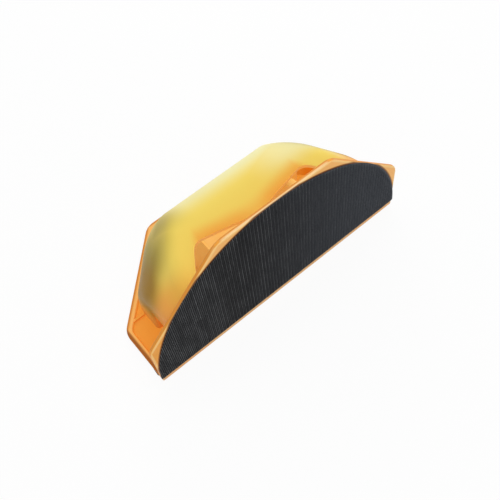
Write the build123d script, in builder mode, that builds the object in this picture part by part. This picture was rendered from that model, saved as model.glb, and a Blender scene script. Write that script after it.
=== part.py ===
from build123d import *
from math import ceil, cos, radians, sin, sqrt, tan
import os

# Corner sanding block: two half-octagon plates at a right angle, a hollow palm handle bridging them,
# and a half-disc pad of hooks on the outer face of each plate. All lengths in millimetres.
# The block stands on its sole pad. X runs along the apex edge, +Y from the front plate to the back,
# +Z up. The origin is under the middle of the whole block.

os.makedirs("parts", exist_ok=True)

# The plates
apothem = 109.4                # from the middle of a plate's octagon to its sides
centre_rise = 1.4              # from the apex edge to the middle of the octagon and of the pad's disc
rim_height = 3.0               # thickness of a plate at its rim
floor_thickness = 1.4          # thickness of a plate inside its rim
rim_width = 5.2                # at the floor
rim_slope = 35.0               # degrees from upright, on the rims' inner sides
plate_corner_round = 14.0      # the plates' four outer corners, seen face on
apex_floor_round = 6.0         # the floor's corners beside the apex
apex_bar = 1.6                 # how far the solid bar along the apex passes the other plate's rim
apex_round = 1.2
outer_edge_round = 1.0
inner_edge_round = 0.8

# The ribs of the plates
end_rib_width = 1.6
end_rib_drop = 0.3             # how far an end rib stays below the rim
end_rib_offset = 4.0           # from the plate's side corner to the rib
web_thickness = 1.8
web_place = 37.2               # from the middle to a web, along the apex
web_inset = 15.0               # from the handle's outer skin in to the web's edge
peg_radius = 3.7
peg_place = 38.0               # the right web carries a round peg from each plate
peg_from_flank = 16.7          # from the foot of the flank in to a peg's centre
peg_height = 32.5

# The handle
handle_wall = 2.8
side_ledge = 32.2              # from a plate's far edge to the handle's flank
end_ledge = 19.8               # from a plate's end to the handle's end
shoulder_ledge = 6.4           # from a plate's slanted side to the foot of the handle's slope
palm_radius = 39.3
flank_draft = 3.0              # degrees
crown_rise = 3.0               # from the crest to where the shoulders' curve would peak
shoulder_radius = 60.0
end_round = 14.0
crease_round = 14.0
tunnel_share = 0.583           # the open tunnel under the handle's ends, as a share of their reach
tunnel_round = 8.0
tunnel_lip_round = 3.0
return_length = 14.0           # how far the tunnel's wall turns in from the handle's end

# The arched cut-outs in the flanks
arch_height = 27.5
arch_low_height = 20.4         # at the arch's end nearer to the middle
arch_peak_place = 41.5         # from the middle to the highest point
arch_inner_place = 4.0         # from the middle to the arch's near foot
arch_land = 2.0                # flank left between an arch and a screw boss
arch_haunch_share = 0.45       # where the steep outer side has come in by this share of its run,
arch_haunch_height_share = 0.72    # it has risen by this share of the arch's height
arch_inner_round_share = 0.35      # of the low height, the near side's rounding

# The screws and their bosses
boss_radius = 4.2
boss_height = 16.0
boss_rib = 1.8
boss_from_flank = 9.4          # from the foot of the flank in to a boss's centre
boss_from_shoulder = 3.6       # from the corner of the handle's foot to a boss's centre
screw_shank_radius = 1.5
screw_head_radius = 3.0
screw_length = 14.0
screw_tip = 1.0
screw_clearance = 0.1
drive_width = 0.8
drive_length = 3.6
drive_depth = 1.2

# The hook pads
pad_overhang = 0.6             # how far a pad's round edge passes the sides of the octagon
pad_apex_gap = 5.5             # from the apex to the pads' straight edge
hook_sheet_thickness = 0.8
hook_base_thickness = 0.3      # the sheet under the hooks
adhesive_thickness = 0.2
hook_margin = 0.9              # bare edge of the sheet round the hooks
hook_strip_pitch = 15.8        # twelve rows of hooks to a strip
hook_strip_gap = 0.9
pad_corner_round = 1.5

clearance = 0.3
overrun = 5.0

# What follows from those sizes
pad_stack = hook_sheet_thickness + adhesive_thickness
pad_radius = apothem + pad_overhang
block_depth = pad_stack + centre_rise + pad_radius
apex_y = pad_stack - block_depth / 2
apex_z = pad_stack
octagon_half_side = apothem * tan(radians(22.5))
floor_corner_round = plate_corner_round - rim_width
floor_margin = rim_height + apex_bar
plate_reach = centre_rise + apothem
handle_half = apothem - end_ledge
flank_reach = plate_reach - side_ledge
palm_centre = flank_reach - palm_radius
crest_reach = palm_centre * sqrt(2) + palm_radius
crown_reach = crest_reach + crown_rise
shoulder_sum = centre_rise + (apothem - shoulder_ledge) * sqrt(2)
end_radius = shoulder_sum - handle_half
tunnel_reach = end_radius * tunnel_share
draft = radians(flank_draft)
shoulder_room = (crown_reach - end_radius - end_round) / (1 - sqrt(0.5))
shoulder_bend = min(shoulder_radius, shoulder_room)     # the shoulder ends above the end's rounding
foot_reach = palm_centre + palm_radius * cos(draft)
foot_reach -= (palm_centre - palm_radius * sin(draft) - floor_thickness) * tan(draft)
boss_reach = foot_reach - boss_from_flank
peg_reach = foot_reach - peg_from_flank
boss_place = shoulder_sum - foot_reach - boss_from_shoulder
arch_outer_place = boss_place - boss_radius - arch_land
hook_height = hook_sheet_thickness - hook_base_thickness

# Each plate is drawn on its own plane: local x along the apex edge, local y away from it,
# and the plane's normal into the corner. A flank's plane faces away from the apex, its local y
# pointing along the plate's normal.
apex = Vector(0, apex_y, apex_z)
front_wall = Plane(origin=apex, x_dir=(-1, 0, 0), z_dir=(0, 1, 0))
sole_wall = Plane(origin=apex, x_dir=(1, 0, 0), z_dir=(0, 0, 1))
walls = (front_wall, sole_wall)
section_plane = Plane(origin=apex, x_dir=(0, 1, 0), z_dir=(1, 0, 0))
length_plane = Plane(origin=apex, x_dir=(1, 0, 0), z_dir=(0, -1, 0))
apex_line = Axis(apex, (1, 0, 0))


def flank_plane(wall, reach):
    return Plane(origin=apex + wall.y_dir * reach, x_dir=wall.x_dir * -1, z_dir=wall.y_dir)


# Outlines

def half_octagon(margin, base, corner_round, base_round):
    """A plate's outline drawn in by a margin, its straight side at a height above the apex."""
    reach = apothem - margin
    half_side = reach * tan(radians(22.5))
    with BuildSketch() as outline:
        with BuildLine():
            Polyline(
                (-reach, base),
                (-reach, centre_rise + half_side),
                (-half_side, centre_rise + reach),
                (half_side, centre_rise + reach),
                (reach, centre_rise + half_side),
                (reach, base),
                close=True,
            )
        make_face()
        fillet(outline.vertices().sort_by(Axis.Y)[2:], corner_round)
        if base_round:
            fillet(outline.vertices().sort_by(Axis.Y)[:2], base_round)
    return outline.sketch


def palm_section(inset):
    """The handle's cross-section: two near-upright flanks and a round palm between them."""
    radius = palm_radius - inset
    tangent = (palm_centre + radius * cos(draft), palm_centre - radius * sin(draft))
    foot = tangent[0] - (tangent[1] - floor_thickness) * tan(draft)
    crest = palm_centre + radius * sqrt(0.5)
    with BuildSketch() as outline:
        with BuildLine():
            Line((floor_thickness, floor_thickness), (foot, floor_thickness))
            Line((foot, floor_thickness), tangent)
            ThreePointArc(tangent, (crest, crest), (tangent[1], tangent[0]))
            Line((tangent[1], tangent[0]), (floor_thickness, foot))
            Line((floor_thickness, foot), (floor_thickness, floor_thickness))
        make_face()
    return outline.sketch


def shoulder_profile(inset):
    """Half of the handle's lengthwise profile: crown, round shoulder, 45 degree slope, round end."""
    crown = crown_reach - inset
    half = handle_half - inset
    slope_sum = shoulder_sum - inset * sqrt(2)
    radius = shoulder_bend - inset
    start = slope_sum - crown - radius * tan(radians(22.5))
    middle = crown - radius
    with BuildSketch() as outline:
        with BuildLine():
            Line((0, 0), (half, 0))
            Line((half, 0), (half, slope_sum - half))
            Line((half, slope_sum - half), (start + radius * sqrt(0.5), middle + radius * sqrt(0.5)))
            ThreePointArc(
                (start + radius * sqrt(0.5), middle + radius * sqrt(0.5)),
                (start + radius * sin(radians(22.5)), middle + radius * cos(radians(22.5))),
                (start, crown),
            )
            Line((start, crown), (0, crown))
            Line((0, crown), (0, 0))
        make_face()
        end_corner = outline.vertices().group_by(Axis.X)[-1].sort_by(Axis.Y)[-1]
        fillet(end_corner, end_round - inset)
        mirror(about=Plane.YZ)
    return outline.sketch


def arch_outline():
    """One arch on a flank, foot on the floor: steep outer side, peak, slow fall to the middle."""
    top = floor_thickness + arch_height
    low_top = floor_thickness + arch_low_height
    outer_run = arch_outer_place - arch_peak_place
    haunch_height = floor_thickness + arch_height * arch_haunch_height_share
    inner_round = arch_low_height * arch_inner_round_share
    inner_run = arch_peak_place - arch_inner_place - inner_round
    inner_fall = arch_height - arch_low_height
    with BuildSketch() as outline:
        with BuildLine():
            Line((arch_inner_place, -overrun), (arch_outer_place, -overrun))
            Line((arch_outer_place, -overrun), (arch_outer_place, floor_thickness))
            Spline(
                (arch_outer_place, floor_thickness),
                (arch_outer_place - outer_run * arch_haunch_share, haunch_height),
                (arch_peak_place, top),
                tangents=((0, 1), (-1, 0)),
            )
            Spline(
                (arch_peak_place, top),
                (arch_inner_place + inner_round, low_top),
                (arch_inner_place, low_top - inner_round),
                tangents=((-inner_run, -inner_fall), (0, -1)),
            )
            Line((arch_inner_place, low_top - inner_round), (arch_inner_place, -overrun))
        make_face()
    return outline.sketch


def half_disc(margin):
    """A hook pad's outline drawn in by a margin: a half disc whose straight edge stops short of the apex."""
    with BuildSketch() as outline:
        with Locations((0, centre_rise)):
            Circle(pad_radius - margin)
        with Locations((0, pad_apex_gap + margin)):
            Rectangle(pad_radius * 2 + overrun, pad_radius * 2 + overrun,
                      align=(Align.CENTER, Align.MIN), mode=Mode.INTERSECT)
        fillet(outline.vertices(), pad_corner_round)
    return outline.sketch


def hook_field():
    """The hooks' outline on a pad: strips of rows that run away from the apex, parted by narrow gaps."""
    gap_count = 2 * ceil(pad_radius / hook_strip_pitch)
    with BuildSketch() as outline:
        add(half_disc(hook_margin))
        with GridLocations(hook_strip_pitch, 0, gap_count, 1):
            Rectangle(hook_strip_gap, pad_radius * 2 + overrun, mode=Mode.SUBTRACT)
    return outline.sketch


def palm_solid(inset):
    """The handle's form, a given depth under its outer skin, before the tunnel and the arches."""
    with BuildPart() as form:
        with BuildSketch(section_plane):
            add(palm_section(inset))
        extrude(amount=handle_half - inset, both=True)
        with BuildSketch(length_plane):
            add(shoulder_profile(inset))
        revolve(axis=apex_line, mode=Mode.INTERSECT)
    return form.part


screw_places = [(-boss_place, boss_reach), (boss_place, boss_reach)]

# Corner frame: both plates, their rims and ribs, the two webs and the two pegs, in one moulding
with BuildPart() as corner_frame:
    for wall in walls:
        with BuildSketch(wall):
            add(half_octagon(0, 0, plate_corner_round, 0))
        extrude(amount=rim_height)
    for wall in walls:
        with BuildSketch(wall.offset(floor_thickness)):
            add(half_octagon(rim_width, floor_margin, floor_corner_round, apex_floor_round))
        extrude(amount=rim_height - floor_thickness, taper=-rim_slope, mode=Mode.SUBTRACT)

    # The long apex edge is rounded most, then every other outer edge of the two faces
    apex_edge = corner_frame.edges().filter_by(Axis.X).sort_by_distance(apex)[0]
    fillet(apex_edge, apex_round)
    outer_faces = [corner_frame.faces().sort_by(Axis.Y)[0], corner_frame.faces().sort_by(Axis.Z)[0]]
    outer_edges = [edge for face in outer_faces for edge in face.edges()
                   if (edge.center() - apex).length > apex_round * 2]
    fillet(outer_edges, outer_edge_round)

    # The rims' inner edges, all round both plates' outlines
    rim_edges = []
    for wall in walls:
        for edge in corner_frame.edges():
            place = wall.to_local_coords(edge.center())
            along = abs(place.X)
            up = place.Y - centre_rise
            reach = max(along, up, (along + up) / sqrt(2))
            if abs(place.Z - rim_height) < inner_edge_round / 2 and reach > apothem - rim_width / 2:
                rim_edges.append(edge)
    fillet(rim_edges, inner_edge_round)

    # Ribs from the rim to the handle's ends
    rib_reach = centre_rise + octagon_half_side + end_rib_offset
    rib_outer = apothem - end_rib_offset - rim_width
    rib_inner = handle_half + clearance
    for wall in walls:
        with BuildSketch(wall.offset(floor_thickness)):
            with Locations(((rib_outer + rib_inner) / 2, rib_reach), (-(rib_outer + rib_inner) / 2, rib_reach)):
                Rectangle(rib_outer - rib_inner, end_rib_width)
        extrude(amount=rim_height - floor_thickness - end_rib_drop)

    # Webs across the corner, inside the handle
    for side in (-1, 1):
        with BuildSketch(section_plane.offset(side * web_place)):
            add(palm_section(web_inset))
        extrude(amount=web_thickness / 2, both=True)

    # A round peg beside the right web, from each plate
    for wall in walls:
        with BuildSketch(wall.offset(floor_thickness)):
            with Locations((wall.x_dir.X * peg_place, peg_reach)):
                Circle(peg_radius)
        extrude(amount=peg_height)

    # Countersunk screw holes
    for wall in walls:
        with Locations(*[wall.location * Location((x, y, 0), (180, 0, 0)) for x, y in screw_places]):
            CounterSinkHole(
                radius=screw_shank_radius + screw_clearance * 2,
                counter_sink_radius=screw_head_radius + screw_clearance,
                depth=rim_height,
                counter_sink_angle=90,
            )
corner_frame.part.label = "corner_frame"

# Handle shell: the palm form, its tunnel and hollow, four arches and four screw bosses
with BuildPart() as hollow:
    add(palm_solid(handle_wall))
    for side in (-1, 1):
        with BuildSketch(section_plane.offset(side * handle_half)):
            Rectangle(tunnel_reach + handle_wall, tunnel_reach + handle_wall, align=(Align.MIN, Align.MIN))
        extrude(amount=-side * return_length, mode=Mode.SUBTRACT)

with BuildPart() as handle_shell:
    add(palm_solid(0))
    crease_edges = [edge for edge in handle_shell.edges()
                    if edge.geom_type not in (GeomType.LINE, GeomType.CIRCLE)
                    and edge.center().Y > apex_y + floor_thickness * 2
                    and edge.center().Z > apex_z + floor_thickness * 2]
    fillet(crease_edges, crease_round)

    with BuildSketch(section_plane) as tunnel:
        Rectangle(tunnel_reach, tunnel_reach, align=(Align.MIN, Align.MIN))
        fillet(tunnel.vertices().group_by(Axis.X)[-1].sort_by(Axis.Y)[-1], tunnel_round)
    extrude(amount=handle_half + overrun, both=True, mode=Mode.SUBTRACT)
    lip_edges = [edge for end in (handle_shell.faces().sort_by(Axis.X)[0], handle_shell.faces().sort_by(Axis.X)[-1])
                 for edge in end.edges()
                 if (edge.center() - apex).dot(Vector(0, 1, 1)) < tunnel_reach * 2
                 and edge.center().Y > apex_y + floor_thickness * 2
                 and edge.center().Z > apex_z + floor_thickness * 2]
    fillet(lip_edges, tunnel_lip_round)
    add(hollow.part, mode=Mode.SUBTRACT)

    arch_start = foot_reach - handle_wall * 2
    for wall in walls:
        with BuildSketch(flank_plane(wall, arch_start)):
            add(arch_outline())
            mirror(about=Plane.YZ)
        extrude(amount=flank_reach + overrun - arch_start, mode=Mode.SUBTRACT)

    for wall in walls:
        for side in (-1, 1):
            with BuildSketch(wall.offset(floor_thickness)):
                with Locations((side * boss_place, boss_reach)):
                    Circle(boss_radius)
                    Rectangle(boss_rib, foot_reach - handle_wall / 2 - boss_reach, align=(Align.CENTER, Align.MIN))
            extrude(amount=boss_height)
            with Locations(wall.location * Location((side * boss_place, boss_reach, floor_thickness), (180, 0, 0))):
                Hole(radius=screw_shank_radius + screw_clearance, depth=screw_length)
handle_shell.part.label = "handle_shell"

# Hook pads, each a sheet with strips of hooks, stuck on by a film of adhesive
with BuildPart() as front_pad_adhesive:
    with BuildSketch(front_wall.offset(-adhesive_thickness)):
        add(half_disc(0))
    extrude(amount=adhesive_thickness)
front_pad_adhesive.part.label = "front_pad_adhesive"

with BuildPart() as front_hook_pad:
    with BuildSketch(front_wall.offset(hook_height - pad_stack)):
        add(half_disc(0))
    extrude(amount=hook_base_thickness)
    with BuildSketch(front_wall.offset(-pad_stack)):
        add(hook_field())
    extrude(amount=hook_height)
front_hook_pad.part.label = "front_hook_pad"

with BuildPart() as sole_pad_adhesive:
    with BuildSketch(sole_wall.offset(-adhesive_thickness)):
        add(half_disc(0))
    extrude(amount=adhesive_thickness)
sole_pad_adhesive.part.label = "sole_pad_adhesive"

with BuildPart() as sole_hook_pad:
    with BuildSketch(sole_wall.offset(hook_height - pad_stack)):
        add(half_disc(0))
    extrude(amount=hook_base_thickness)
    with BuildSketch(sole_wall.offset(-pad_stack)):
        add(hook_field())
    extrude(amount=hook_height)
sole_hook_pad.part.label = "sole_hook_pad"

# Screws, two to a plate, their heads flush with the plate's outer face
with BuildPart() as screw:
    with BuildSketch(Plane.XZ):
        with BuildLine():
            Polyline(
                (0, 0),
                (screw_head_radius, 0),
                (screw_shank_radius, screw_head_radius - screw_shank_radius),
                (screw_shank_radius, screw_length - screw_tip),
                (screw_shank_radius - screw_tip, screw_length),
                (0, screw_length),
                close=True,
            )
        make_face()
    revolve(axis=Axis.Z)
    with BuildSketch():
        Rectangle(drive_length, drive_width)
        Rectangle(drive_width, drive_length)
    extrude(amount=drive_depth, mode=Mode.SUBTRACT)

with BuildPart() as front_plate_screws:
    for x, y in screw_places:
        add(screw.part.moved(front_wall.location * Location((x, y, 0))))
front_plate_screws.part.label = "front_plate_screws"

with BuildPart() as sole_plate_screws:
    for x, y in screw_places:
        add(screw.part.moved(sole_wall.location * Location((x, y, 0))))
sole_plate_screws.part.label = "sole_plate_screws"

sub_parts = (
    corner_frame,
    handle_shell,
    front_pad_adhesive,
    front_hook_pad,
    sole_pad_adhesive,
    sole_hook_pad,
    front_plate_screws,
    sole_plate_screws,
)
for sub_part in sub_parts:
    export_step(sub_part.part, "parts/" + sub_part.part.label + ".step")
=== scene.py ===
from collections import namedtuple
import math
import random

import bpy
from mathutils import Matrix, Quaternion, Vector


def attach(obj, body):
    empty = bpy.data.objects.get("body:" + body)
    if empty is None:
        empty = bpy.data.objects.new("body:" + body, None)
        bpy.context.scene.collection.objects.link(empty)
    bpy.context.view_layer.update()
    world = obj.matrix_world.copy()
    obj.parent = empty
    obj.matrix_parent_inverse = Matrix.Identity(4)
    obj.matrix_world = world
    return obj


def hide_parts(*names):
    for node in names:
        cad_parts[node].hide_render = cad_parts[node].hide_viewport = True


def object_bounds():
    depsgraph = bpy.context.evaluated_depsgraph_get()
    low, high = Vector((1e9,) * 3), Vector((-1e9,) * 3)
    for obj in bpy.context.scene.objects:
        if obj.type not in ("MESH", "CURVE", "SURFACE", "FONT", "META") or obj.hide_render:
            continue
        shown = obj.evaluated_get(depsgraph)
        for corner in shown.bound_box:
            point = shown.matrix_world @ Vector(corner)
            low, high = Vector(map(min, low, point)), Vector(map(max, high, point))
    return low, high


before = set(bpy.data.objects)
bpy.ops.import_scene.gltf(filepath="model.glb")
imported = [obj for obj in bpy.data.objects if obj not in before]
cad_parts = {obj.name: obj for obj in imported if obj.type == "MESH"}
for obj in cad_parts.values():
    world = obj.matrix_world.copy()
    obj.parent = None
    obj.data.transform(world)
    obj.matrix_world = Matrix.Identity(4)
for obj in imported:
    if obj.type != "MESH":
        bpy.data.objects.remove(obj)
cad_box = [list(corner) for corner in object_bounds()]
random.seed(41)

MM = 0.001

# The pads, in millimetres, as their solids have them
PAD_RADIUS = 110.0
PAD_RISE = 1.4
PAD_EDGE = 5.5
PAD_CORNER = 1.5
FILM = 0.2
SHEET = 0.8

# The plates' outer faces in the row frame, behind their pads: the front plate's Y and the sole plate's Z
PLATE_FACE = round(cad_box[0][1] / MM + SHEET + FILM, 3)
APEX_HEIGHT = round(cad_box[0][2] / MM + SHEET + FILM, 3)

# The corners of a square, as shares of half its side
SQUARE = ((-1, -1), (1, -1), (1, 1), (-1, 1))

# A ramp has its first value up to its start, its last from its end, and a soft or straight step between them.
# A noise has its scale in features to the metre, and a relief its height in metres
Ramp = namedtuple("Ramp", "start end first last", defaults=(0.0, 1.0))
Noise = namedtuple("Noise", "scale detail stretch turn", defaults=((1, 1, 1), (0, 0, 0)))
Relief = namedtuple("Relief", "strength height")


def span(start, end, first=0.0, last=1.0):
    """A ramp over a stretch of the part, its start and end in millimetres."""
    return Ramp(start * MM, end * MM, first, last)


# Node helpers

# The sockets that colours use on Blender's Mix node
MIX_INPUTS = (0, 6, 7)
MIX_OUTPUT = 2


class Graph:
    """The nodes of one material or world, with a short call for each kind that the looks are made of."""

    def __init__(self, tree):
        self.nodes = tree.nodes
        self.links = tree.links

    def plug(self, socket, value):
        """Feeds a socket from another node's output, or with a number, a vector or a colour."""
        if isinstance(value, bpy.types.NodeSocket):
            self.links.new(value, socket)
        elif socket.type == "RGBA":
            socket.default_value = (*value, 1.0)
        else:
            socket.default_value = value

    def feed(self, node, **inputs):
        """Feeds a node's inputs by name, an underscore standing for a space."""
        for name, value in inputs.items():
            self.plug(node.inputs[name.replace("_", " ")], value)
        return node

    def add(self, kind, **inputs):
        return self.feed(self.nodes.new(kind), **inputs)

    def operate(self, kind, operation, values):
        made = self.nodes.new(kind)
        made.operation = operation
        for socket, value in zip(made.inputs, values):
            self.plug(socket, value)
        return made.outputs

    def math(self, operation, *values):
        return self.operate("ShaderNodeMath", operation, values)["Value"]

    def vector_math(self, operation, *values):
        return self.operate("ShaderNodeVectorMath", operation, values)

    def times(self, first, *others):
        for other in others:
            first = self.math("MULTIPLY", first, other)
        return first

    def plus(self, first, second):
        return self.math("ADD", first, second)

    def minus(self, first, second):
        return self.math("SUBTRACT", first, second)

    def larger(self, first, *others):
        for other in others:
            first = self.math("MAXIMUM", first, other)
        return first

    def smaller(self, first, second):
        return self.math("MINIMUM", first, second)

    def ramp(self, value, ramp, interpolation="SMOOTHSTEP"):
        made = self.add("ShaderNodeMapRange", Value=value, From_Min=ramp.start, From_Max=ramp.end,
                        To_Min=ramp.first, To_Max=ramp.last)
        made.interpolation_type = interpolation
        return made.outputs["Result"]

    def mix(self, share, first, second):
        """The first colour at share 0, the second at share 1."""
        made = self.nodes.new("ShaderNodeMix")
        made.data_type = "RGBA"
        for socket, value in zip(MIX_INPUTS, (share, first, second)):
            self.plug(made.inputs[socket], value)
        return made.outputs[MIX_OUTPUT]

    def place(self):
        """The shaded point in the row frame, in metres."""
        return self.nodes.new("ShaderNodeTexCoord").outputs["Object"]

    def place_parts(self):
        return self.add("ShaderNodeSeparateXYZ", Vector=self.place()).outputs

    def noise(self, noise):
        mapping = self.add("ShaderNodeMapping", Vector=self.place(), Scale=noise.stretch, Rotation=noise.turn)
        made = self.add("ShaderNodeTexNoise", Vector=mapping.outputs["Vector"], Scale=noise.scale,
                        Detail=noise.detail)
        return made.outputs["Fac"]

    def bump(self, height, relief, under=None):
        """A normal that follows a height, on top of another normal where one is given."""
        made = self.add("ShaderNodeBump", Height=height, Strength=relief.strength, Distance=relief.height)
        if under:
            self.links.new(under, made.inputs["Normal"])
        return made.outputs["Normal"]

    def seen(self):
        """1 for rays that see a backdrop straight, mirrored or through something, 0 for those that light."""
        path = self.nodes.new("ShaderNodeLightPath").outputs
        return self.larger(path["Is Camera Ray"], path["Is Glossy Ray"], path["Is Transmission Ray"])

    def blend(self, output, share, first, second):
        """Two shaders, mixed by a share, as the output's surface."""
        made = self.nodes.new("ShaderNodeMixShader")
        for socket, value in zip(made.inputs, (share, first, second)):
            self.plug(socket, value)
        self.links.new(made.outputs["Shader"], self.nodes[output].inputs["Surface"])


def new_material(name):
    material = bpy.data.materials.new(name)
    material.use_nodes = True
    return material, Graph(material.node_tree), material.node_tree.nodes["Principled BSDF"]


def corner_places(graph):
    """A point seen from the apex: to the side, along it either way, out on the sole, up the front plate."""
    parts = graph.place_parts()
    along = graph.math("ABSOLUTE", parts["X"])
    out = graph.minus(parts["Y"], PLATE_FACE * MM)
    up = graph.minus(parts["Z"], APEX_HEIGHT * MM)
    return parts["X"], along, out, up


# Moulded plastic

FLOW_MARKS = Noise(22.0, 3.0, stretch=(1, 1, 1.6))
FLOW_BLOTCH = Ramp(0.35, 0.68)
FLOW_SHARE = 0.25
FLOW_RELIEF = Relief(0.12, 0.6 * MM)
SPECKS = Noise(900.0, 2.0)
SPECK = Ramp(0.62, 0.74)
SPECK_SHARE = 0.08
EDGE_RADIUS = 1.2 * MM
EDGE_SAMPLES = 6
EDGE_BY_ANGLE = Ramp(0.8, 0.985, 1.0, 0.0)
EDGE_BREAKS = Noise(160.0, 4.0)
BROKEN_EDGE = Ramp(0.34, 0.6, 0.45, 1.0)
SCRATCHES = Noise(60.0, 5.0, stretch=(0.6, 14, 14), turn=(0.3, 0.5, 0.6))
SCRATCH = Ramp(0.6, 0.66)
SCRATCH_RELIEF = Relief(0.1, 0.03 * MM)
GRAIN = Noise(1500.0, 1.0)
GRAIN_RELIEF = Relief(0.12, 0.05 * MM)
PLASTIC_ROUGHNESS = Ramp(0.3, 0.7, 0.37, 0.48)
SCRATCH_ROUGHNESS = 0.12
WEAR_ROUGHNESS = 0.15
PLASTIC_IOR = 1.49
PLASTIC_SPECULAR = 0.09
PLASTIC_SPECULAR_TINT = (1.0, 0.8, 0.5)
COAT_ROUGHNESS = 0.2


def edge_mask(graph):
    """1 along a solid's sharp edges, from the angle between its normal and a rounded one."""
    rounded = graph.add("ShaderNodeBevel", Radius=EDGE_RADIUS)
    rounded.samples = EDGE_SAMPLES
    plain = graph.nodes.new("ShaderNodeNewGeometry")
    angle = graph.vector_math("DOT_PRODUCT", rounded.outputs["Normal"], plain.outputs["Normal"])["Value"]
    return graph.ramp(angle, EDGE_BY_ANGLE)


def moulded_plastic(name, color, flow_color, worn_and_highlight_color, worn_and_highlight_share, coat, tint):
    """Injection-moulded plastic: faint flow marks, fine scratches, a satin skin and broken, rubbed edges,
    lighter both as wear and as a painted edge highlight.
    """
    material, graph, shader = new_material(name)
    flow = graph.noise(FLOW_MARKS)
    blotch = graph.times(graph.ramp(flow, FLOW_BLOTCH), FLOW_SHARE)
    base = tint(graph, graph.mix(blotch, color, flow_color))
    speck = graph.times(graph.ramp(graph.noise(SPECKS), SPECK), SPECK_SHARE)
    base = graph.mix(speck, base, flow_color)
    # Sharp edges lighter: wear, and a painted edge highlight
    wear_and_highlight = graph.times(edge_mask(graph), graph.ramp(graph.noise(EDGE_BREAKS), BROKEN_EDGE))
    base = graph.mix(graph.times(wear_and_highlight, worn_and_highlight_share), base, worn_and_highlight_color)

    scratch = graph.ramp(graph.noise(SCRATCHES), SCRATCH)
    rough = graph.plus(graph.ramp(flow, PLASTIC_ROUGHNESS), graph.times(scratch, SCRATCH_ROUGHNESS))
    rough = graph.plus(rough, graph.times(wear_and_highlight, WEAR_ROUGHNESS))
    normal = graph.bump(graph.noise(GRAIN), GRAIN_RELIEF)
    normal = graph.bump(scratch, SCRATCH_RELIEF, normal)
    normal = graph.bump(flow, FLOW_RELIEF, normal)
    graph.feed(shader, Base_Color=base, Roughness=rough, Normal=normal, IOR=PLASTIC_IOR,
               Specular_IOR_Level=PLASTIC_SPECULAR, Specular_Tint=PLASTIC_SPECULAR_TINT,
               Coat_Weight=coat, Coat_Roughness=COAT_ROUGHNESS)
    return material


# The handle's look

# Low is the smaller distance from the plates' outer faces. Along is the distance from the block's middle,
# measured along the apex, and side is the same with the sign of X. Far grows towards the ends' outer corners
HANDLE_YELLOW = (0.86, 0.66, 0.13)
HANDLE_FLOW = (0.84, 0.58, 0.1)
HANDLE_WORN = (0.9, 0.7, 0.2)
HANDLE_WORN_SHARE = 0.2
HANDLE_COAT = 0.02

# Painted sheen: paler over the palm and towards the right end, where the light falls
PALM_PAINTED_SHEEN = (0.88, 0.85, 0.48)
PALM_BY_LOW = span(46, 66)
RIGHT_BY_SIDE = span(10, 50)
RIGHT_BY_LOW = span(28, 46, 0.0, 0.8)
PALE_BY_SIDE = span(-60, 30, 0.55, 0.85)
PALE_END_BY_SIDE = span(-55, -28, 0.1, 1.0)

# Painted orange glow and shade on the flanks just over the arches, standing in for the orange frame's light
AMBER_PAINTED_GLOW = (0.86, 0.4, 0.06)
ARCH_RISE = span(4, 41.5, 21.8 * MM, 28.9 * MM)
ARCH_FALL = span(41.5, 58, 28.9 * MM, 10 * MM)
GLOW_OVER_ARCH = span(-1, 12.5, 1.0, 0.0)
GLOW_MIDDLE_BY_ALONG = span(0, 16, 0.62, 1.0)
GLOW_END_BY_ALONG = span(42, 50, 1.0, 0.3)
AMBER_CLOUDS = Noise(45.0, 2.0)
AMBER_CLOUD = Ramp(0.3, 0.7, 0.88, 1.0)

# Painted orange glow and shade on the feet, near the plates
FOOT_PAINTED_GLOW = (0.89, 0.38, 0.08)
FOOT_CLIMB = span(66, 86, 0.0, 9 * MM)
FOOT_BY_LOW = span(8, 32, 1.0, 0.0)
FOOT_BY_ALONG = span(50, 85)
FOOT_RED_BY_ALONG = span(72, 88)

# Painted shade at the ends: olive over the slopes, a darker bend on the left, brown towards the feet
OLIVE_PAINTED_SHADE = (0.21, 0.15, 0.003)
BROWN_PAINTED_SHADE = (0.3, 0.145, 0.006)
END_SLANT = 0.6
END_TURN = span(74, 90, 0.0, 10 * MM)
OLIVE_BY_ALONG = span(38, 79)
OLIVE_BY_FAR = span(66, 90)
OLIVE_BY_LOW = span(10, 35, 0.2, 1.0)
OLIVE_SHARE = 0.93
BEND_BY_SIDE = span(-56, -30, 1.0, 0.0)
BEND_BY_LOW = span(40, 64, 0.0, 0.62)
BROWN_BY_ALONG = span(64, 82)

# Painted light on the hollow's faces
SHELL_INSIDE_PAINTED_LIGHT = (1.0, 0.78, 0.38)
INSIDE_BY_ALONG = span(70, 80, 0.9, 0.0)
SHELL_TINT = (1.0, 0.95, 0.8)
SHELL_LIGHT_SHARE = 0.96


def outer_skin(graph):
    """1 on faces that look away from the apex, 0 on those of the hollow and on the arches' cuts."""
    apex = (0.0, PLATE_FACE * MM, APEX_HEIGHT * MM)
    away = graph.vector_math("SUBTRACT", graph.place(), apex)["Vector"]
    facing = graph.nodes.new("ShaderNodeNewGeometry").outputs["True Normal"]
    return graph.math("GREATER_THAN", graph.vector_math("DOT_PRODUCT", away, facing)["Value"], 0.0)


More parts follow.
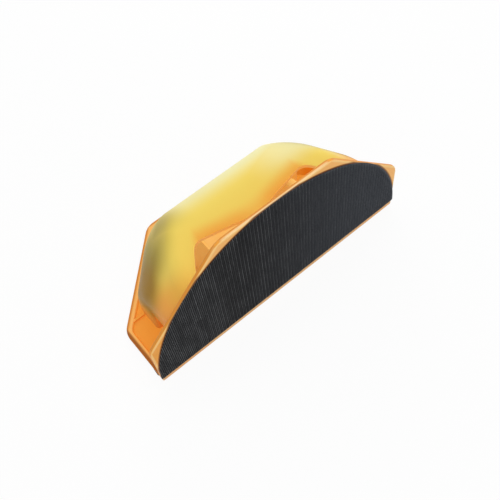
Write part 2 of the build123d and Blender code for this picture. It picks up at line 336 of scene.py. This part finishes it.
def handle_tint(graph, base):
    """Painted sheen over the palm and its right side, painted orange glow and shade over the arches and at
    the feet, painted olive and brown shade at the ends, and painted light on the hollow's faces.
    """
    side, along, out, up = corner_places(graph)
    low = graph.smaller(out, up)
    # Painted sheen, paler over the palm and its right side
    right = graph.times(graph.ramp(side, RIGHT_BY_SIDE), graph.ramp(low, RIGHT_BY_LOW))
    pale = graph.times(graph.larger(graph.ramp(low, PALM_BY_LOW), right),
                       graph.ramp(side, PALE_BY_SIDE), graph.ramp(side, PALE_END_BY_SIDE))
    base = graph.mix(pale, base, PALM_PAINTED_SHEEN)

    # Painted orange glow and shade over the arches and on the feet
    arch = graph.smaller(graph.ramp(along, ARCH_RISE, "LINEAR"), graph.ramp(along, ARCH_FALL, "LINEAR"))
    glow = graph.times(graph.ramp(graph.minus(low, arch), GLOW_OVER_ARCH),
                       graph.ramp(along, GLOW_MIDDLE_BY_ALONG), graph.ramp(along, GLOW_END_BY_ALONG))
    lowered = graph.minus(low, graph.ramp(along, FOOT_CLIMB))
    foot_glow = graph.times(graph.ramp(lowered, FOOT_BY_LOW), graph.ramp(along, FOOT_BY_ALONG))
    painted_amber = graph.times(graph.larger(glow, foot_glow), graph.ramp(graph.noise(AMBER_CLOUDS), AMBER_CLOUD))
    painted_amber_color = graph.mix(graph.times(foot_glow, graph.ramp(along, FOOT_RED_BY_ALONG)), AMBER_PAINTED_GLOW, FOOT_PAINTED_GLOW)
    base = graph.mix(painted_amber, base, painted_amber_color)

    # Painted olive and brown shade at the ends, on the outer skin only
    far = graph.plus(graph.plus(out, graph.times(along, END_SLANT)), graph.ramp(along, END_TURN))
    olive = graph.times(graph.ramp(along, OLIVE_BY_ALONG), graph.ramp(far, OLIVE_BY_FAR),
                        graph.ramp(low, OLIVE_BY_LOW), OLIVE_SHARE)
    bend = graph.times(graph.ramp(side, BEND_BY_SIDE), graph.ramp(low, BEND_BY_LOW))
    skin = outer_skin(graph)
    # Painted light on the faces of the hollow
    inside = graph.times(graph.minus(1.0, skin), graph.ramp(along, INSIDE_BY_ALONG))
    base = graph.mix(inside, base, SHELL_INSIDE_PAINTED_LIGHT)
    dark = graph.mix(graph.ramp(along, BROWN_BY_ALONG), OLIVE_PAINTED_SHADE, BROWN_PAINTED_SHADE)
    return graph.mix(graph.times(graph.larger(olive, bend), skin), base, dark)


def let_light_in(material):
    """Translucent moulding: most of the light that meets the shell goes on inside, tinted."""
    graph = Graph(material.node_tree)
    path = graph.nodes.new("ShaderNodeLightPath").outputs
    lighting = graph.larger(path["Is Shadow Ray"], path["Is Diffuse Ray"])
    through = graph.add("ShaderNodeBsdfTransparent", Color=SHELL_TINT)
    graph.blend("Material Output", graph.times(lighting, SHELL_LIGHT_SHARE),
                graph.nodes["Principled BSDF"].outputs["BSDF"], through.outputs["BSDF"])
    return material


# The frame's look

# High is the larger distance from the plates' outer faces. Reach is how far out on a plate's half octagon a
# point lies, height is its height over that plate's outer face, and across is its distance from the apex
FRAME_ORANGE = (0.9, 0.375, 0.06)
FRAME_FLOW = (0.86, 0.325, 0.043)
# Rubbed edges, lighter both as wear and as a painted edge highlight
FRAME_WORN_AND_HIGHLIGHT = (0.95, 0.45, 0.1)
FRAME_WORN_AND_HIGHLIGHT_SHARE = 0.45
FRAME_COAT = 0.05
COS_45 = math.sqrt(0.5)

# Painted light on the frame in the hollow under the handle
HOLLOW_PAINTED_LIGHT = (1.0, 0.66, 0.24)
HOLLOW_BY_ALONG = span(60, 70, 1.0, 0.0)
HOLLOW_BY_HIGH = span(73, 77, 1.0, 0.0)
HOLLOW_SHARE = 0.9

# The rims: a painted highlight along their inner edges, painted shade along their outer edges and at their
# ends
EDGE_PAINTED_HIGHLIGHT = (1.0, 0.66, 0.26)
RIM_PAINTED_SHADE = (0.6, 0.2, 0.025)
END_PAINTED_SHADE = (0.26, 0.07, 0.012)
RIM_FROM_HEIGHT = span(2, 2.8)
RIM_TO_HEIGHT = span(3.5, 4.5, 1.0, 0.0)
INNER_RIM_BY_REACH = span(103.5, 105.5)
INNER_RIM_SHARE = 0.45
OUTER_RIM_BY_REACH = span(106.8, 108.4)
OUTER_RIM_SHARE = 0.85
RIM_END_BY_ALONG = span(106.0, 107.4)
RIM_END_SHARE = 0.75

# The front plate's outer face, lighter as painted light; a painted highlight line and a band of painted shade
# round its edge
FACE_PAINTED_LIGHT = (1.0, 0.53, 0.17)
FACE_BY_OUT = span(0.2, 0.6, 1.0, 0.0)
FACE_BY_SIDE = span(-80, -50)
FACE_SHARE = 0.75
LINE_BY_REACH = span(107.6, 108.3)
LINE_BY_OUT = span(0.4, 0.9, 1.0, 0.0)
LINE_SHARE = 0.7
BAND_BY_REACH = span(108.6, 109.2)
BAND_BY_OUT = span(0.6, 1.0)
BAND_SHARE = 0.45
# Painted light on top of the front plate
TOP_LIGHT = (1.0, 0.74, 0.4)
TOP_BY_ALONG = span(32, 56, 1.0, 0.0)
TOP_BY_REACH = span(108.8, 109.3)
TOP_BY_OUT = span(1.2, 2.0, 0.75, 0.0)
# Painted highlight along the apex strip
APEX_PAINTED_HIGHLIGHT = (0.8, 0.45, 0.22)
APEX_BY_HIGH = span(5, 7, 0.6, 0.0)

# A thin dark line round the arc of each pad
PAD_EDGE_DARK_LINE = (0.16, 0.04, 0.012)
PAD_LINE_BY_AWAY = span(0.3, 1.6, 0.9, 0.0)
PAD_LINE_BY_HEIGHT = span(0.3, 0.9, 1.0, 0.0)
PAD_LINE_BY_ACROSS = span(4.6, 5.4)


def octagon_reach(graph, along, across):
    """How far out on a plate's half octagon a point lies, whichever of its sides is nearest."""
    risen = graph.minus(across, PAD_RISE * MM)
    slant = graph.times(graph.plus(along, risen), COS_45)
    return graph.larger(along, risen, slant)


def frame_tint(graph, base):
    """Painted light in the hollow, painted highlights along the rims' inner edges and the front plate's
    edges, painted shade along the rims' far edges and ends, and a thin dark line round each pad.
    """
    side, along, out, up = corner_places(graph)
    high = graph.larger(out, up)
    hollow = graph.times(graph.ramp(along, HOLLOW_BY_ALONG), graph.ramp(high, HOLLOW_BY_HIGH), HOLLOW_SHARE)
    base = graph.mix(hollow, base, HOLLOW_PAINTED_LIGHT)
    # Along each rim: a painted highlight on the inner edge, painted shade on the outer edge and at the ends
    for across, height in ((out, up), (up, out)):
        reach = octagon_reach(graph, along, across)
        rim = graph.times(graph.ramp(height, RIM_FROM_HEIGHT), graph.ramp(height, RIM_TO_HEIGHT))
        for place, zone, share, color in ((reach, INNER_RIM_BY_REACH, INNER_RIM_SHARE, EDGE_PAINTED_HIGHLIGHT),
                                          (reach, OUTER_RIM_BY_REACH, OUTER_RIM_SHARE, RIM_PAINTED_SHADE),
                                          (along, RIM_END_BY_ALONG, RIM_END_SHARE, END_PAINTED_SHADE)):
            base = graph.mix(graph.times(rim, graph.ramp(place, zone), share), base, color)

    # The front plate's outer face lighter as painted light, a painted highlight line and a band of painted
    # shade round its edge, painted light on top of it, and a painted highlight along the apex
    reach = octagon_reach(graph, along, up)
    face = graph.times(graph.ramp(out, FACE_BY_OUT), graph.ramp(side, FACE_BY_SIDE), FACE_SHARE)
    base = graph.mix(face, base, FACE_PAINTED_LIGHT)
    line = graph.times(graph.ramp(reach, LINE_BY_REACH), graph.ramp(out, LINE_BY_OUT), LINE_SHARE)
    base = graph.mix(line, base, EDGE_PAINTED_HIGHLIGHT)
    band = graph.times(graph.ramp(reach, BAND_BY_REACH), graph.ramp(out, BAND_BY_OUT), BAND_SHARE)
    base = graph.mix(band, base, RIM_PAINTED_SHADE)
    top = graph.times(graph.ramp(along, TOP_BY_ALONG), graph.ramp(reach, TOP_BY_REACH),
                      graph.ramp(out, TOP_BY_OUT))
    base = graph.mix(top, base, TOP_LIGHT)
    base = graph.mix(graph.ramp(high, APEX_BY_HIGH), base, APEX_PAINTED_HIGHLIGHT)

    # A thin dark line round the arc of each pad
    for across, height in ((up, out), (out, up)):
        risen = graph.minus(across, PAD_RISE * MM)
        squares = graph.plus(graph.times(along, along), graph.times(risen, risen))
        away = graph.minus(graph.math("SQRT", squares), PAD_RADIUS * MM)
        pad_line = graph.times(graph.ramp(away, PAD_LINE_BY_AWAY), graph.ramp(height, PAD_LINE_BY_HEIGHT),
                           graph.ramp(across, PAD_LINE_BY_ACROSS))
        base = graph.mix(pad_line, base, PAD_EDGE_DARK_LINE)
    return base


# The hook sheets' look

# The rows follow the solids' strips
STRIP_PITCH = 15.8
ROWS_IN_STRIP = 12
ROW_PITCH = STRIP_PITCH / ROWS_IN_STRIP
HOOK_BLACK = (0.004, 0.004, 0.005)
HOOK_FAR = (0.06, 0.066, 0.078)
HOOK_FAR_BY_SIDE = span(-50, 100)
HOOK_FAR_SHARE = 0.75
HOOK_DUST = (0.2, 0.205, 0.21)
DUST_CLOUDS = Noise(420.0, 4.0, stretch=(0.3, 0.14, 0.14))
DUST_CLOUD = Ramp(0.34, 0.66, 0.5, 1.0)
ROW_CHANCE = Ramp(0.0, 1.0, 0.6, 1.0)
PLAIN_ROW_BY_SIDE = span(-95, -20, 0.7, 0.2)
STREAK_BY_OFFSET = Ramp(0.08, 0.22, 1.0, 0.0)
STREAK_BY_SIDE = span(-70, 60, 1.0, 0.35)
HOOK_GRAIN = Noise(700.0, 2.0)
HOOK_RELIEF = Relief(0.25, 0.05 * MM)
HOOK_ROUGHNESS = Ramp(0.3, 0.7, 0.5, 0.7)
HOOK_IOR = 1.5
HOOK_SPECULAR = 0.1


def hook_plastic():
    """Black moulded hooks: a thin, dusty grey streak on each row, every second one fainter."""
    material, graph, shader = new_material("hook_plastic")
    side = graph.place_parts()["X"]
    row = graph.math("DIVIDE", side, ROW_PITCH * MM)
    number = graph.math("FLOOR", row)
    second = graph.math("MODULO", graph.math("ABSOLUTE", number), 2.0)
    chance = graph.nodes.new("ShaderNodeTexWhiteNoise")
    chance.noise_dimensions = "1D"
    graph.feed(chance, W=number)
    streak = graph.times(graph.ramp(chance.outputs["Value"], ROW_CHANCE, "LINEAR"),
                         graph.larger(second, graph.ramp(side, PLAIN_ROW_BY_SIDE)))
    dust = graph.ramp(graph.noise(DUST_CLOUDS), DUST_CLOUD)
    offset = graph.math("ABSOLUTE", graph.minus(graph.math("FRACT", row), 0.5))
    worn = graph.times(streak, dust, graph.ramp(offset, STREAK_BY_OFFSET), graph.ramp(side, STREAK_BY_SIDE))
    far = graph.times(graph.ramp(side, HOOK_FAR_BY_SIDE), HOOK_FAR_SHARE)
    color = graph.mix(worn, graph.mix(far, HOOK_BLACK, HOOK_FAR), HOOK_DUST)
    grain = graph.noise(HOOK_GRAIN)
    graph.feed(shader, Base_Color=color, Roughness=graph.ramp(grain, HOOK_ROUGHNESS),
               Normal=graph.bump(grain, HOOK_RELIEF), IOR=HOOK_IOR, Specular_IOR_Level=HOOK_SPECULAR)
    return material


# The film's and the screws' looks

CLOUD_SHARE = Ramp(0.35, 0.65)
FILM_COLORS = ((0.09, 0.03, 0.012), (0.2, 0.07, 0.02))
FILM_SMEARS = Noise(190.0, 4.0)
FILM_ROUGHNESS = Ramp(0.3, 0.7, 0.35, 0.6)
FILM_RELIEF = Relief(0.3, 0.1 * MM)
ZINC_COLORS = ((0.5, 0.5, 0.52), (0.66, 0.65, 0.62))
ZINC_CLOUDS = Noise(420.0, 4.0)
ZINC_ROUGHNESS = Ramp(0.3, 0.7, 0.25, 0.45)
ZINC_RELIEF = Relief(0.2, 0.05 * MM)


def clouded(name, noise, colors, roughness, relief, metallic):
    """A finish whose colour, roughness and height drift together."""
    material, graph, shader = new_material(name)
    cloud = graph.noise(noise)
    graph.feed(shader, Base_Color=graph.mix(graph.ramp(cloud, CLOUD_SHARE), *colors),
               Roughness=graph.ramp(cloud, roughness), Normal=graph.bump(cloud, relief), Metallic=metallic)
    return material


# The hook pads' meshes

# A ring of the backing has its height, and how far it is drawn in to a point inside the half disc. A hook has
# three sections, foot, bend and top, each given by half its sides
BACKING = 0.3
OUTLINE_STEP = 2.0
CORNER_STEPS = 5
MIDDLE_SHARE = 0.4
BACKING_RINGS = ((0.0, 0.05), (BACKING * 0.7, 0.0), (BACKING, 0.12))
HOOK_PITCH = 1.42
HOOK_SPACING_SHARES = (0.86, 1.14)
HOOK_MARGIN = 0.9
ROW_END = 0.5
HOOK_HEIGHTS = (0.66, SHEET - 0.01)
HOOK_LEAN = 0.14
HOOK_TIPS = (0.22, 0.4)
FOOT_HEIGHT = BACKING * 0.8
BEND_HEIGHT_SHARE = 0.75
BEND_LEAN_SHARE = 0.6
BEND_TIP_SHARE = 0.15
HOOK_FOOT = (0.26, 0.4)
HOOK_BEND = (0.2, 0.3)
HOOK_TOP = (0.15, 0.2)


def add_object(name, data):
    made = bpy.data.objects.new(name, data)
    bpy.context.scene.collection.objects.link(made)
    return made


def arc(middle, radius, first, last, steps):
    """Points on an arc, from one angle to another."""
    angles = [first + (last - first) * k / steps for k in range(steps + 1)]
    return [(middle[0] + radius * math.cos(angle), middle[1] + radius * math.sin(angle)) for angle in angles]


def pad_outline():
    """Points round the half disc, from the right end of its straight edge over the arc to the left end."""
    corner_y = PAD_EDGE - PAD_RISE + PAD_CORNER
    corner_x = math.sqrt((PAD_RADIUS - PAD_CORNER) ** 2 - corner_y ** 2)
    start = math.atan2(corner_y, corner_x)
    right = arc((corner_x, corner_y), PAD_CORNER, -math.pi / 2, start, CORNER_STEPS)
    steps = int(PAD_RADIUS * (math.pi - 2 * start) / OUTLINE_STEP)
    crown = arc((0.0, 0.0), PAD_RADIUS, start, math.pi - start, steps)[1:-1]
    left = [(-x, y) for x, y in reversed(right)]
    return [(x, y + PAD_RISE) for x, y in right + crown + left]


def add_band(faces, low, high, count):
    """Four-sided faces between two closed rings of points."""
    for k in range(count):
        following = (k + 1) % count
        faces.append((low + k, low + following, high + following, high + k))


def add_ring(points, outline, height, inward):
    """The outline at a height, drawn in. Gives back the number of its first point."""
    first = len(points)
    middle_y = PAD_RADIUS * MIDDLE_SHARE
    for x, y in outline:
        share = 1 - inward / math.hypot(x, y - middle_y)
        points.append((x * share, middle_y + (y - middle_y) * share, height))
    return first


def add_backing(points, faces):
    """The sheet under the hooks, with a softened rim."""
    outline = pad_outline()
    count = len(outline)
    rings = [add_ring(points, outline, height, inward) for height, inward in BACKING_RINGS]
    for low, high in zip(rings, rings[1:]):
        add_band(faces, low, high, count)
    faces.append(tuple(range(rings[0] + count - 1, rings[0] - 1, -1)))
    faces.append(tuple(range(rings[-1], rings[-1] + count)))


def add_hook(points, faces, x, y, lean):
    """One small hook that bends along its row, to the side that lean gives."""
    height = random.uniform(*HOOK_HEIGHTS)
    lean_x = random.uniform(-HOOK_LEAN, HOOK_LEAN)
    tip = lean * random.uniform(*HOOK_TIPS)
    first = len(points)
    sections = ((FOOT_HEIGHT, 0.0, 0.0, HOOK_FOOT),
                (height * BEND_HEIGHT_SHARE, lean_x * BEND_LEAN_SHARE, tip * BEND_TIP_SHARE, HOOK_BEND),
                (height, lean_x, tip, HOOK_TOP))
    for z, shift_x, shift_y, (half_x, half_y) in sections:
        for right, back in SQUARE:
            points.append((x + shift_x + right * half_x, y + shift_y + back * half_y, z))
    corners = len(SQUARE)
    add_band(faces, first, first + corners, corners)
    add_band(faces, first + corners, first + 2 * corners, corners)
    faces.append(tuple(range(first + 2 * corners, first + 3 * corners)))


def hook_pad(name, to_row, flip):
    """A backing sheet and its hooks, in rows at right angles to the apex."""
    points, faces = [], []
    add_backing(points, faces)
    reach = PAD_RADIUS - HOOK_MARGIN
    rows = int(reach / ROW_PITCH)
    for row in range(-rows, rows):
        x = (row + 0.5) * ROW_PITCH
        end = PAD_RISE + math.sqrt(reach ** 2 - x ** 2) - ROW_END
        y = PAD_EDGE + HOOK_MARGIN + random.random() * HOOK_PITCH
        lean = 1 if row % 2 else -1
        while y < end:
            add_hook(points, faces, x, y, lean)
            y += HOOK_PITCH * random.uniform(*HOOK_SPACING_SHARES)
    if flip:
        faces = [tuple(reversed(face)) for face in faces]
    mesh = bpy.data.meshes.new(name)
    mesh.from_pydata([tuple(c * MM for c in to_row(*point)) for point in points], [], faces)
    mesh.validate()
    mesh.update()
    return add_object(name, mesh)


# The studio

WHITE = (1.0, 1.0, 1.0)
FLOOR_REACH = 6.0
FLOOR_HEIGHT = -0.0004
FLOOR_COLORS = ((0.86, 0.86, 0.86), (0.88, 0.88, 0.88))
FLOOR_FIBRES = Noise(30.0, 2.0)
FLOOR_ROUGHNESS = 0.9
FLOOR_SPECULAR = 0.1
FLOOR_GLOW_SHARE = 0.92
WORLD_COLOR = (0.96, 0.98, 1.0)
WORLD_STRENGTH = 0.62
LIGHTS = {
    "key": {"place": (0.3, -0.05, 0.95), "aim": (0, 0, 0.04), "size": (0.7, 0.6), "power": 2.6,
            "color": (1.0, 0.98, 0.95)},
    "back": {"place": (0.5, 0.7, 0.38), "aim": (0.02, 0, 0.06), "size": (0.5, 0.5), "power": 2.4,
             "color": (1.0, 0.99, 0.97)},
    "fill": {"place": (-0.45, -0.6, 0.55), "aim": (0, 0, 0.05), "size": (0.9, 0.6), "power": 1.4,
             "color": (1.0, 0.99, 0.98)},
}
# Fitted to the plates' outlines in the photograph
CAMERA_PLACE = (-0.14249, -0.24712, 0.45565)
CAMERA_AIM = (-0.01212, -0.03646, 0.045)
CAMERA_ROLL = -9.0603
LENS = 50.4
SENSOR = 36.0


def studio_floor():
    """Pale paper that shows white to the rays that see it, so that only the object's soft shadow remains."""
    mesh = bpy.data.meshes.new("floor")
    corners = [(x * FLOOR_REACH, y * FLOOR_REACH, FLOOR_HEIGHT) for x, y in SQUARE]
    mesh.from_pydata(corners, [], [(0, 1, 2, 3)])
    material, graph, shader = new_material("floor_paper")
    pale = graph.mix(graph.noise(FLOOR_FIBRES), *FLOOR_COLORS)
    graph.feed(shader, Base_Color=pale, Roughness=FLOOR_ROUGHNESS, Specular_IOR_Level=FLOOR_SPECULAR)
    glow = graph.add("ShaderNodeEmission", Color=WHITE, Strength=1.0)
    graph.blend("Material Output", graph.times(graph.seen(), FLOOR_GLOW_SHARE),
                shader.outputs["BSDF"], glow.outputs["Emission"])
    mesh.materials.append(material)
    return add_object("floor", mesh)


def studio_world():
    """Soft, slightly cool light from all round, behind a white that the camera and reflections see."""
    world = bpy.data.worlds.new("studio")
    world.use_nodes = True
    graph = Graph(world.node_tree)
    lit = graph.feed(graph.nodes["Background"], Color=WORLD_COLOR, Strength=WORLD_STRENGTH)
    white = graph.add("ShaderNodeBackground", Color=WHITE, Strength=1.0)
    graph.blend("World Output", graph.seen(), lit.outputs["Background"], white.outputs["Background"])
    bpy.context.scene.world = world


def area_light(name, place, aim, size, power, color):
    light = bpy.data.lights.new(name, "AREA")
    light.shape = "RECTANGLE"
    light.size, light.size_y = size
    light.energy = power
    light.color = color
    made = add_object(name, light)
    made.location = place
    made.rotation_euler = (Vector(aim) - Vector(place)).to_track_quat("-Z", "Y").to_euler()


def photo_camera():
    data = bpy.data.cameras.new("photo_view")
    data.lens = LENS
    data.sensor_width = SENSOR
    camera = add_object("photo_view", data)
    camera.location = CAMERA_PLACE
    roll = Quaternion((0, 0, 1), math.radians(CAMERA_ROLL))
    turn = (Vector(CAMERA_AIM) - camera.location).to_track_quat("-Z", "Y") @ roll
    camera.rotation_euler = turn.to_euler()
    bpy.context.scene.camera = camera


# The scene

front_hooks = hook_pad(
    "front_hook_sheet", lambda x, y, z: (x, PLATE_FACE - FILM - z, APEX_HEIGHT + y), False)
sole_hooks = hook_pad(
    "sole_hook_sheet", lambda x, y, z: (x, PLATE_FACE + y, APEX_HEIGHT - FILM - z), True)
hooks_look = hook_plastic()
for piece, solid in ((front_hooks, "front_hook_pad"), (sole_hooks, "sole_hook_pad")):
    piece.data.materials.append(hooks_look)
    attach(piece, "root")
    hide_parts(solid)

frame_look = moulded_plastic("frame_plastic", FRAME_ORANGE, FRAME_FLOW, FRAME_WORN_AND_HIGHLIGHT, FRAME_WORN_AND_HIGHLIGHT_SHARE,
                             FRAME_COAT, frame_tint)
handle_look = moulded_plastic("handle_plastic", HANDLE_YELLOW, HANDLE_FLOW, HANDLE_WORN, HANDLE_WORN_SHARE,
                              HANDLE_COAT, handle_tint)
film = clouded("adhesive_film", FILM_SMEARS, FILM_COLORS, FILM_ROUGHNESS, FILM_RELIEF, metallic=0.0)
steel = clouded("zinc_steel", ZINC_CLOUDS, ZINC_COLORS, ZINC_ROUGHNESS, ZINC_RELIEF, metallic=1.0)
looks = {
    "corner_frame": frame_look,
    "handle_shell": let_light_in(handle_look),
    "front_pad_adhesive": film,
    "sole_pad_adhesive": film,
    "front_plate_screws": steel,
    "sole_plate_screws": steel,
}
for name, look in looks.items():
    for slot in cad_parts[name].material_slots:
        slot.material = look

floor = studio_floor()
studio_world()
for name, settings in LIGHTS.items():
    area_light(name, **settings)
photo_camera()
bpy.context.scene.view_settings.view_transform = "Standard"
